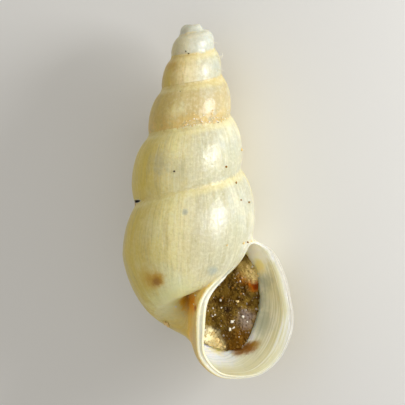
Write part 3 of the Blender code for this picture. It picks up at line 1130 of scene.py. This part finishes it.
# A few short fibres, finer than a hair, stand out from the right side of the upper whorls. Each is caught in
# the shell's surface by its thick end, and tapers to its loose end.
FIBRES = (
    ((0.262, 3.345), (0.285, 3.352), (0.300, 3.338)),
    ((0.318, 3.215), (0.343, 3.212), (0.362, 3.222)),
    ((0.330, 3.080), (0.352, 3.075), (0.362, 3.060)),
    ((0.345, 3.195), (0.352, 3.228), (0.348, 3.250)),
)
FIBRE_RADIUS = 0.0035
FIBRE_ROOT_INSET = 0.03
FIBRE_TIP_SHARE = 0.3
curve = bpy.data.curves.new("fibres", "CURVE")
curve.dimensions = "3D"
curve.bevel_depth = FIBRE_RADIUS * MM
curve.bevel_resolution = 2
curve.use_fill_caps = True
for bends in FIBRES:
    root = on_surface(bends[0][0] - FIBRE_ROOT_INSET, bends[0][1], shell_surface)[0]
    depth = (from_seen.inverted() @ (root * MM)).z
    line = curve.splines.new("NURBS")
    line.points.add(len(bends))
    line.points[0].co = (*(root * MM), 1)
    for point, (right, up) in zip(list(line.points)[1:], bends):
        point.co = (*(from_seen @ Vector((right, up, depth))), 1)
    line.points[-1].radius = FIBRE_TIP_SHARE
    line.use_endpoint_u = True
    line.order_u = 3
fibres = bpy.data.objects.new("fibres", curve)
bpy.context.scene.collection.objects.link(fibres)
fibre_mesh = bpy.data.meshes.new_from_object(fibres.evaluated_get(bpy.context.evaluated_depsgraph_get()))
bpy.data.objects.remove(fibres)
fibres = bpy.data.objects.new("fibres", fibre_mesh)
bpy.context.scene.collection.objects.link(fibres)
fibre_material = bpy.data.materials.new("pale_fibre")
fibre_mesh.materials.clear()
fibre_mesh.materials.append(fibre_material)
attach(fibres, "root")
tree, shader, where = start_material(fibre_material)
Wire.feed(shader, {
    "Base Color": blend(tree, mottle(tree, where, size=0.02), linear(206, 202, 178), linear(240, 238, 224)),
    "Roughness": 0.5,
})


# The floor is a plain pale sheet with a matt surface. The shell lies in the middle of it.
FLOOR_RADIUS = 0.15
FLOOR_COLOUR = (0.80, 0.80, 0.79, 1)
bpy.ops.mesh.primitive_circle_add(vertices=64, radius=FLOOR_RADIUS, fill_type="NGON")
floor = bpy.context.object
floor.name = "floor"
floor_material = bpy.data.materials.new("pale_floor")
floor_material.use_nodes = True
Wire.feed(floor_material.node_tree.nodes["Principled BSDF"], {"Base Color": FLOOR_COLOUR, "Roughness": 0.9})
floor.data.materials.append(floor_material)

# One large soft light shines from the right of the mouth, a little towards the viewer, and a dim pale room
# fills in the shadows. Distances are in millimetres, as the shell is seen.
KEY_AIM = Vector((0.15, 1.6, 0.3))
KEY_FROM = Vector((0.750, 0.190, 0.634))
KEY_DISTANCE = 14.0
KEY_SIZE = 5.0
KEY_POWER = 0.00185
ROOM_COLOUR = (1.0, 0.965, 0.90, 1)
ROOM_LIGHT = 0.56
key_data = bpy.data.lights.new("key", "AREA")
key_data.shape = "DISK"
key_data.size = KEY_SIZE * MM
key_data.energy = KEY_POWER
key = bpy.data.objects.new("key", key_data)
key.location = from_seen @ (KEY_AIM + KEY_FROM * KEY_DISTANCE)
key.rotation_mode = "QUATERNION"
key.rotation_quaternion = (key.location - from_seen @ KEY_AIM).to_track_quat("Z", "Y")
bpy.context.scene.collection.objects.link(key)
world = bpy.data.worlds.new("pale room")
world.use_nodes = True
Wire.feed(world.node_tree.nodes["Background"], {"Color": ROOM_COLOUR, "Strength": ROOM_LIGHT})
bpy.context.scene.world = world
bpy.context.scene.view_settings.view_transform = "Standard"

# The camera looks at the mouth's side of the shell from far away through a long lens, so that nearer parts look
# no larger. The view's middle and height and the camera's distance are in millimetres, as the shell is seen.
VIEW_MIDDLE = (0.153, 1.755)
VIEW_HEIGHT = 4.05
CAMERA_DISTANCE = 80.0
CAMERA_NEAREST = 0.01
CAMERA_FARTHEST = 1.0
camera_data = bpy.data.cameras.new("camera")
camera_data.sensor_width = 36.0
camera_data.lens = camera_data.sensor_width * CAMERA_DISTANCE / VIEW_HEIGHT
camera_data.clip_start = CAMERA_NEAREST
camera_data.clip_end = CAMERA_FARTHEST
camera = bpy.data.objects.new("camera", camera_data)
camera_place = Matrix.Translation(from_seen @ Vector((*VIEW_MIDDLE, CAMERA_DISTANCE)))
camera.matrix_world = camera_place @ from_seen.to_quaternion().to_matrix().to_4x4()
bpy.context.scene.collection.objects.link(camera)
bpy.context.scene.camera = camera
